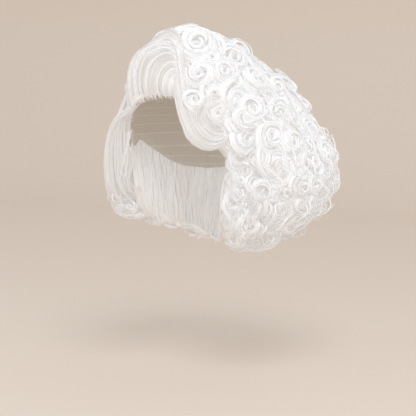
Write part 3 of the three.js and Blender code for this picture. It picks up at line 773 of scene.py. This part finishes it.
def edge_locks(locks):
    """Curls and hanging locks on the front edge, which face forward."""
    chance = locks.chance
    side, up = around(EDGE_DEG, 1, 0), np.array([0, 0, 1.0])
    facing = unit(around(EDGE_DEG - 90, 1, 0) + 0.35 * side)
    for out, z, radius in EDGE_ROSES:
        for layer in range(2):
            here = around(EDGE_DEG + 3 * layer, out - 4 * layer, z - 5 * layer)
            rose(locks, (here, side, up, facing), radius, chance.choice([-1, 1]), strands=20, tilt=0.45)
    hanging, temple, rings = 8, 18, 30
    for deg in np.linspace(68, 80, hanging):
        z = np.linspace(EDGE_TOP, EDGE_HEM, 18)
        wave = np.linspace(0, 10, 18) + chance.uniform(0, 6)
        points = around(deg + 2.5 * np.sin(wave), 92 + 5 * np.cos(wave) - 0.04 * (z - EDGE_TOP), z)
        locks.lay(points, facing, wide=5.0, thick=2.0, strands=8, body=0.0)
    for k in range(temple):
        shift = chance.uniform(-1, 1, 3) * (2, 3, 4) + (0.5 * k, -0.9 * k, 0)
        wave = chance.uniform(0, 6) + 2.1 * np.arange(len(TEMPLE))
        swing = np.stack([3.5 * np.sin(wave), 8 * np.cos(wave), 0 * wave], axis=-1)
        points = thread(np.add(TEMPLE, swing) + shift, 26)
        locks.lay(points, facing, wide=3.5, thick=2.0, strands=6, body=0.0)
    for _ in range(rings):
        here = around(chance.uniform(62, 70), chance.uniform(92, 125), chance.uniform(-236, -150))
        turns = chance.uniform(1.0, 1.8)
        angle = np.linspace(0, 2 * np.pi * turns, round(10 * turns)) * chance.choice([-1, 1])
        angle = angle + chance.uniform(0, 6)
        wind = chance.uniform(6, 10) * np.linspace(1, 0.7, len(angle))
        points = (here + np.outer(wind * np.cos(angle), side) + np.outer(wind * np.sin(angle) - 2 * angle, up)
                  + np.outer(np.linspace(-2, 3, len(angle)), facing))
        locks.lay(points, facing, wide=1.2, thick=0.8, strands=4, body=0.0)


def waved_locks(seed, table, low, high, count, strands, depth=9, starts=(0.1, 0.35, 0.6)):
    """Long locks below the curls, which run down the outline from side to side in waves."""
    locks = Locks(seed)
    chance = locks.chance
    length, steps = 0.45, 18
    for deg in np.linspace(low, high, count):
        begin = chance.choice(starts)
        share = np.linspace(begin, min(begin + length, 1.0), steps)
        wave = np.linspace(0, chance.uniform(9, 14), steps) + chance.uniform(0, 6)
        turn = deg + 4.0 * np.sin(wave) + chance.uniform(-1, 1)
        here, _, _, out = spot(table, turn, share)
        points = here - out * (depth + 5 * np.cos(wave))[:, None]
        locks.lay(points, out, wide=4.5, thick=2.0, strands=strands, body=0.0)
    return locks


TOWARDS_FACE = around(25, 0.6, 0)
LOW_CURLS = 0.55  # the share from crest to hem where the curls become loose
left_spots = fill_spots(21, 68, 126, ROSES_LEFT, apart=0.64)
upper_spots = [place for place in left_spots if place[1] < LOW_CURLS]
lower_spots = [place for place in left_spots if place[1] >= LOW_CURLS]
upper_left = rolled_locks(23, upper_spots, strands=42, facing=TOWARDS_FACE, dull=0.85, steps=16)
lower_left = rolled_locks(24, lower_spots, strands=26, facing=TOWARDS_FACE, dull=0.75, steps=16)
ringlets(lower_left, 70, 128, count=100, strands=5, largest=15)
left_waves = waved_locks(22, CURL_MASS, 68, 126, count=40, strands=8, depth=7)
outer_waves = waved_locks(26, CURL_MASS, 72, 124, count=9, strands=9, depth=2, starts=(0.08, 0.2))
left_waves.guides += outer_waves.guides
edge_locks(left_waves)
hair_piece("left_rolls", upper_left, "left_curls", frizz=0.5, seed=5)
hair_piece("left_low_rolls", lower_left, frizz=0.5, seed=4)
hair_piece("left_waves", left_waves, seed=6)


# The back and the right of the back are the same rolled curls, a little shorter towards the right.
# They are the last rows that are sewn on, and they hang free below the edge of the cap.
back_spots = fill_spots(31, 126, 196, [], apart=0.72)
back_rolls = ringlets(rolled_locks(33, back_spots, strands=14), 126, 196, count=60)
hair_piece("back_rolls", back_rolls, "back_curls", radius=0.75, seed=7)
back_waves = waved_locks(32, CURL_MASS, 126, 196, count=40, strands=3)
hair_piece("back_waves", back_waves, radius=0.7, seed=8)
right_spots = fill_spots(41, 196, 252, [], apart=0.68)
right_rolls = ringlets(rolled_locks(43, right_spots, strands=15), 196, 250, count=45)
hair_piece("right_back_rolls", right_rolls, "right_back_curls", radius=0.75, seed=9)
right_waves = waved_locks(42, CURL_MASS, 196, 254, count=30, strands=3)
hair_piece("right_back_waves", right_waves, radius=0.7, seed=10)


# The fall on the wearer's right is combed smoothly back from the hairline and down, and only its
# ends are curled. It hides the side edge of the cap and the end of the lace.
def hairline(deg):
    """The height of the lace's edge at an angle."""
    return float(read(LACE_EDGE, abs(deg))[0])


def root_on(deg, z, offset=1.5):
    """Where a hair is knotted in: its true angle, distance out and height on the head's surface."""
    x, y, z = on_head(deg, float(head_phi(z)), offset)
    return np.degrees(np.arctan2(x, -y)), np.hypot(x, y), z


def outward(points):
    """The level directions from the head's middle line out to points."""
    return unit(points * (1, 1, 0))


SIDE = [  # angle, distance out, height along the locks that come down from the crown
    (-38, 56, 34), (-48, 66, 20), (-57, 79, 0), (-63, 83, -22), (-67, 81, -44), (-71, 91, -64),
    (-75, 104, -92), (-79, 112, -126), (-81, 113, -162), (-80, 103, -200),
]
FALL = [  # turn from the knot, distance out from it, share of the way down
    (0, 0, 0), (-6, 10, 0.02), (-12, 23, 0.12), (-16, 31, 0.3), (-17, 34, 0.55), (-17, 32, 0.77),
    (-16, 25, 0.94), (-13, 14, 1),
]
FALL_HEM = -203


def right_fall():
    # The fall's locks get a low range of tints: painted shade, as this side lies away from the key light.
    locks = Locks(51, -0.4, 0.3)
    chance = locks.chance
    for knot in np.linspace(-44, -72, 17):
        deg, out, z = root_on(knot, hairline(knot))
        for inset in (0, 7, 14, 21, 28):
            low = FALL_HEM + chance.uniform(-10, 8) + 0.4 * inset
            near = inset + chance.uniform(-3, 3)
            share = np.linspace(0, 1, len(FALL))
            rows = [(deg - 0.12 * inset + turn, out + reach - near * min(1, 2 * t), z + (low - z) * drop)
                    for (turn, reach, drop), t in zip(FALL, share)]
            points = thread(rows, 18)
            locks.lay(points, outward(points), wide=3.4, thick=1.6, strands=5, body=float(inset > 10))
    for deg in np.linspace(253, 295, 15):
        for layer in range(2):
            share = np.linspace(0.1, 0.97, 18)
            swing = deg + chance.uniform(-2, 2) + 2.0 * np.sin(share * 11 + deg)
            here, _, _, out = spot(CURL_MASS, swing, share)
            locks.lay(here - out * (3 + 5 * layer), out, wide=5.5, thick=1.8, strands=7, body=float(layer))
    for deg in np.linspace(252, 298, 16):
        for share in (0.84, 0.95):
            place = spot(CURL_MASS, deg + chance.uniform(-2, 2), share + chance.uniform(-0.03, 0.03))
            rose(locks, place, chance.uniform(9, 14), chance.choice([-1, 1]), strands=9, tilt=0.8, steps=12,
                 tails=0.4)
    for knot in np.linspace(-62, -82, 10):
        deg, out, z = root_on(knot, -92.0)
        for inset in (0, 7, 14):
            low = -205 + chance.uniform(-8, 8)
            rows = [(deg, out, z), (deg - 1, out + 4, z - 20), (deg - 2, out + 12 - inset, z - 52),
                    (deg - 3, out + 17 - inset, z - 80), (deg - 4, out + 14 - inset, low)]
            points = thread(rows, 14)
            locks.lay(points, unit(around(-40, 1, 0) + 0 * points), wide=4.5, thick=1.5, strands=7, body=0.0)
    for k in range(15):
        rows = [(turn - 3.4 * k, out + 0.35 * k * (z < -60) - chance.uniform(0, 3), z - 0.4 * k)
                for turn, out, z in SIDE]
        points = thread(rows, 18)
        locks.lay(points, outward(points), wide=4.5, thick=1.8, strands=7, body=float(k % 2))
    locks.dull, locks.bright = 0.6, 1.2
    ringlets(locks, 268, 302, count=26, strands=6, highest=0.82, largest=15)
    return ringlets(locks, 252, 298, count=24, highest=0.84)


hair_piece("right_fall_locks", right_fall(), "right_side_fall", radius=0.55, seed=13)


# The quiff is the front hair, combed up from the knots in the lace and over towards the left. Each
# strand rises, leans out and bends over, so that the whole forms a hollow like a breaking wave.
QUIFF = [  # angle of the knot, how far out its strand stands, and how high it rises
    (-68, 84, 8), (-56, 87, 20), (-44, 93, 31), (-20, 98, 27), (-9, 98, 15), (10, 99, -12), (14, 99, -16),
]
ARCH = [  # angle, distance out, height along the locks of its crest
    (-58, 82, -16), (-44, 78, 6), (-31, 71, 22), (-22, 65, 34), (-8, 61, 46), (5, 65, 39), (14, 78, 22),
    (20, 92, 2),
]
QUIFF_HEART = (0, 0, -40)  # the crest's locks face away from here


def quiff():
    locks = Locks(61, -0.8, 1.2)
    chance = locks.chance
    for row in range(4):
        for knot in np.linspace(-68, 14, 28):
            knot = knot + chance.uniform(-1.4, 1.4)
            z = hairline(knot) + 1 + 6.0 * row + chance.uniform(-2, 2)
            root, out, z = root_on(knot, z)
            full, top = read(QUIFF, root)
            full, top = full - 3.5 * row, top - 4 + 1.5 * row
            back = np.clip((-40 - root) / 20, 0, 1)
            late = np.clip((root + 44) / 54, 0, 1)
            end = (12 + 4 * late) * (1 - back) + (root + 34) * back
            turn, rise = end - root, top - z
            rows = [(root, out, z), (root - 0.5, out + (full - out) * 0.7, z + 0.28 * rise),
                    (root + 0.06 * turn, full, z + 0.6 * rise),
                    (root + 0.24 * turn, full - 1 - 4 * back, z + 0.86 * rise),
                    (root + 0.52 * turn, full - 6 * (1 - late) - 15 * back, top + 3 * back),
                    (root + 0.8 * turn, full - 8 * (1 - late) - 22 * back, top + 1 + 10 * back),
                    (end, (93 + 5 * late) * (1 - back) + 60 * back, top - 7 + 27 * back)]
            points = thread(rows, 16)
            locks.lay(points, outward(points), wide=2.6, thick=1.6, strands=6)
    for k in range(7):
        points = thread([(deg + 2.5 * k, out - 3.5 * k, z + 0.4 * k) for deg, out, z in ARCH], 20)
        locks.lay(points, unit(points - QUIFF_HEART), wide=4.0, thick=2.5, strands=8)
    for k in range(5):
        points = thread([(deg + 1.5 * k, out + 4 + 1.5 * k, z - 2 * k) for deg, out, z in ARCH[1:]], 20)
        locks.lay(points, unit(points - QUIFF_HEART), wide=3.0, thick=2.5, strands=7)
    return locks


hair_piece("quiff_strands", quiff(), "front_quiff", radius=0.55, frizz=0.5, seed=17)


# The front wave is the long front hair: it runs over the crest of the quiff, falls past the left
# temple in one broad band, and rolls up there into the largest curl, with smaller ones above it.
WAVE_ROSES = [  # angle, distance out, height, radius, spin
    (33, 82, 33, 30, 1), (33, 92, 14, 16, -1), (33, 102, -11, 20, 1), (54, 102, -6, 21, -1),
    (43, 111, -42, 18, 1), (28, 110, -46, 16, -1), (58, 120, -48, 21, 1), (62, 132, -74, 21, -1),
    (63, 130, -104, 20, 1), (60, 124, -84, 18, 1), (70, 92, 12, 25, -1), (52, 76, 30, 22, 1),
    (63, 116, -128, 16, -1), (46, 92, 12, 18, -1),
]
SWOOP = [  # angle, distance out, height along the band, from the crest to its roll
    (-40, 92, 6), (-20, 90, 21), (-5, 88, 29), (3, 87, 29), (10.5, 90, 17), (11.3, 95, -5), (12.5, 101, -34),
    (15.5, 106, -61), (19, 110, -82),
]
WAVE_ROLL = {"deg": 40, "z": -76, "out": 114, "radius": 45}


def front_wave():
    # The band's locks get a low range of tints: painted shade that tones the band down where it faces the key
    # light.
    locks = Locks(71, -0.3, 0.5)
    chance = locks.chance
    forward = around(22, 1, 0)
    angle, wound = np.linspace(np.pi * 1.22, np.pi * 3.7, 12), np.linspace(0, 1, 12)
    for k in np.linspace(0, 4.6, 14):
        shift = chance.uniform(-0.5, 0.5)
        lead = [(deg + k * np.interp(z, [-84, -30, 20], [3.6, 2.8, 1.5]),
                 out - k * np.interp(deg, [-40, 3, 11], [5.0, 2.6, 0.0]) + 4 * shift,
                 z + k * np.interp(z, [-84, -30, 20], [2, 2, 4.6])) for deg, out, z in SWOOP]
        reach = (WAVE_ROLL["radius"] - 5 * k) * (1 - (0.45 + 0.1 * shift) * wound)
        roll = [(WAVE_ROLL["deg"] + 1.9 * k + np.degrees(0.9 * r * np.cos(a) / WAVE_ROLL["out"]),
                 WAVE_ROLL["out"] + 3 * np.sin(np.pi * w) - 9 * w * w - 0.3 * k + 5 * shift,
                 WAVE_ROLL["z"] + k + r * np.sin(a)) for a, w, r in zip(angle, wound, reach)]
        points = thread(lead + roll, 40)
        locks.lay(points, outward(points), wide=1.9, thick=1.6, strands=6)
    locks.dull, locks.bright = 0.75, 1.0
    for deg, out, z, radius, spin in WAVE_ROSES:
        normal = unit(around(deg, 1.0, 0.25 + 0.014 * max(z + 20, 0)) + 0.5 * forward)
        side = unit(np.cross((0, 0, 1.0), normal))
        for layer in range(2):
            here = around(deg + 4 * layer, out - 7 * layer, z - 4 * layer)
            rose(locks, (here, side, np.cross(normal, side), normal), radius, spin if layer == 0 else -spin,
                 tilt=0.15, strands=42 if layer == 0 else 21, steps=max(13, round(0.68 * radius)),
                 tails=0.2 if z > 10 else 0.8)
    middle = around(WAVE_ROLL["deg"] + 6, WAVE_ROLL["out"] - 1, WAVE_ROLL["z"] + 9)
    side = around(WAVE_ROLL["deg"] + 90, 1, 0)
    facing = around(WAVE_ROLL["deg"], 1, 0)
    rose(locks, (middle, side, np.cross(facing, side), facing), 17, 1, tilt=0.05)
    locks.guides += waved_locks(72, WAVE_MASS, 26, 64, count=12, strands=6, depth=7).guides
    return locks


hair_piece("wave_roll", front_wave(), "front_wave", radius=0.6, frizz=1.4, seed=19)


# A few single hairs have come loose all round. They are the same fibre, fixed at one end, and they
# stand off the curls in thin arcs.
def stray_hairs():
    locks = Locks(91)
    chance = locks.chance
    areas = ((CURL_MASS, 72, 250), (WAVE_MASS, 20, 70), (CURL_MASS, 72, 130))
    loose, baby_hairs = 150, 90
    t = np.linspace(0, 1, 14)
    for _ in range(loose):
        table, low, high = areas[chance.integers(3)]
        here, side, up, out = spot(table, chance.uniform(low, high), chance.uniform(0.12, 0.95))
        turn = chance.uniform(0, 2 * np.pi)
        run = side * np.cos(turn) + up * np.sin(turn)
        bow = chance.uniform(-9, 9)
        points = (here + np.outer((t - 0.5) * chance.uniform(28, 60), run)
                  + np.outer(chance.uniform(4, 9) * np.sin(np.pi * t) - 4, out)
                  + np.outer(bow * np.sin(1.3 * np.pi * t), np.cross(out, run)))
        locks.lay(points, out, wide=1.5, thick=1.0, strands=1, body=0.0)
    for knot in np.linspace(-70, 16, baby_hairs):
        deg, out, z = root_on(knot, hairline(knot) + chance.uniform(-2.5, 2.0), 0.5)
        tip = chance.uniform(4, 9)
        rows = [(deg, out, z), (deg - 0.5, out + 0.5 * tip, z + 0.35 * tip),
                (deg - chance.uniform(-2, 2), out + tip, z + 1.6 * tip)]
        locks.lay(thread(rows, 6), around(deg, 1, 0), wide=0.8, thick=0.5, strands=1, body=0.0)
    return locks


hair_piece("stray_hairs", stray_hairs(), radius=0.32, frizz=3.0, seed=29)


# Inside the hanging hair, below the edge of the cap, the undersides of the last rows of weft show
# as straight hair with a slight wave, which follows the hollow that the neck leaves.
def nape_lining():
    locks = Locks(81)
    chance = locks.chance
    for deg in np.linspace(72, 292, 76):
        turn = deg + chance.uniform(-1, 1)
        edge = float(read(CAP_EDGE, abs(turn if turn <= 180 else turn - 360))[0]) + 6
        low = float(read(CURL_MASS, turn)[4]) + chance.uniform(-2, 10)
        z = np.linspace(edge, low, 14)
        swing = turn + 1.6 * np.sin(np.linspace(0, 9, 14) + chance.uniform(0, 6))
        points = in_hollow(swing, z, CAP_WALL + 3.5)
        locks.lay(points, -outward(points), wide=3.6, thick=1.0, strands=3)
    return locks


hair_piece("nape_lining", nape_lining(), seed=23)


# The studio: a seamless beige sweep as floor and background, two large soft lights, and the camera
# at the place that the picture was taken from, level with the crown and turned to the left front.
SWEEP = {"front": -5000, "bend": 2400, "radius": 800, "top": 3200, "half": 5000, "floor": -485}


def sweep():
    bend, radius = SWEEP["bend"], SWEEP["radius"]
    profile = [(SWEEP["front"], 0), (bend, 0)]
    for t in np.linspace(0.1, np.pi / 2, 14):
        profile.append((bend + radius * np.sin(t), radius - radius * np.cos(t)))
    profile.append((bend + radius, SWEEP["top"]))
    points = [(x, y, z + SWEEP["floor"]) for x in (-SWEEP["half"], SWEEP["half"]) for y, z in profile]
    n = len(profile)
    return mesh_object("studio_sweep", points, [[i, n + i, n + i + 1, i + 1] for i in range(n - 1)])


backdrop = sweep()
paper, _, _ = finish("beige_paper", base_color=(0.86, 0.763, 0.67, 1), roughness=0.9)
backdrop.data.materials.append(paper)


def set_up(name, data, at, side, towards):
    """Stands the camera or a lamp at a place, with its right-hand side and the way that it looks."""
    made = bpy.data.objects.new(name, data)
    stand = np.eye(4)
    stand[:3] = np.stack([side, np.cross(side, towards), -towards, at], axis=-1)
    made.matrix_world = mathutils.Matrix(stand.tolist())
    bpy.context.collection.objects.link(made)
    return made


PITCH, TURN = np.radians(6), np.radians(20)
SEAT_IN_VIEW = {"right": -0.0345, "above": 0.213, "ahead": 2.036}  # metres from the eye to the cap's top
right = np.array([np.cos(TURN), np.sin(TURN), 0])
ahead = np.array([-np.sin(TURN) * np.cos(PITCH), np.cos(TURN) * np.cos(PITCH), -np.sin(PITCH)])
above = np.cross(right, ahead)
eye = -(SEAT_IN_VIEW["right"] * right + SEAT_IN_VIEW["above"] * above + SEAT_IN_VIEW["ahead"] * ahead)
lens = bpy.data.cameras.new("camera")
lens.sensor_width, lens.lens, lens.clip_end = 36, 117.4, 50
bpy.context.scene.camera = set_up("camera", lens, eye, right, ahead)


def soft_light(name, at, size, watts, colour):
    lamp = bpy.data.lights.new(name, "AREA")
    lamp.shape, lamp.size, lamp.energy, lamp.color = "DISK", size, watts, colour
    towards = -unit(np.array(at))
    set_up(name, lamp, at, unit(np.cross(towards, (0, 0, 1))), towards)


soft_light("key", (1.05, -2.0, 1.9), 1.3, 30, (0.955, 0.975, 1.0))
soft_light("fill", (-1.9, -1.7, 0.9), 2.0, 3, (1.0, 0.94, 0.88))
world = bpy.data.worlds.new("studio")
world.use_nodes = True
world.node_tree.nodes["Background"].inputs["Color"].default_value = (1.0, 0.995, 0.99, 1)
world.node_tree.nodes["Background"].inputs["Strength"].default_value = 0.68
bpy.context.scene.world = world
bpy.context.scene.view_settings.view_transform = "Standard"
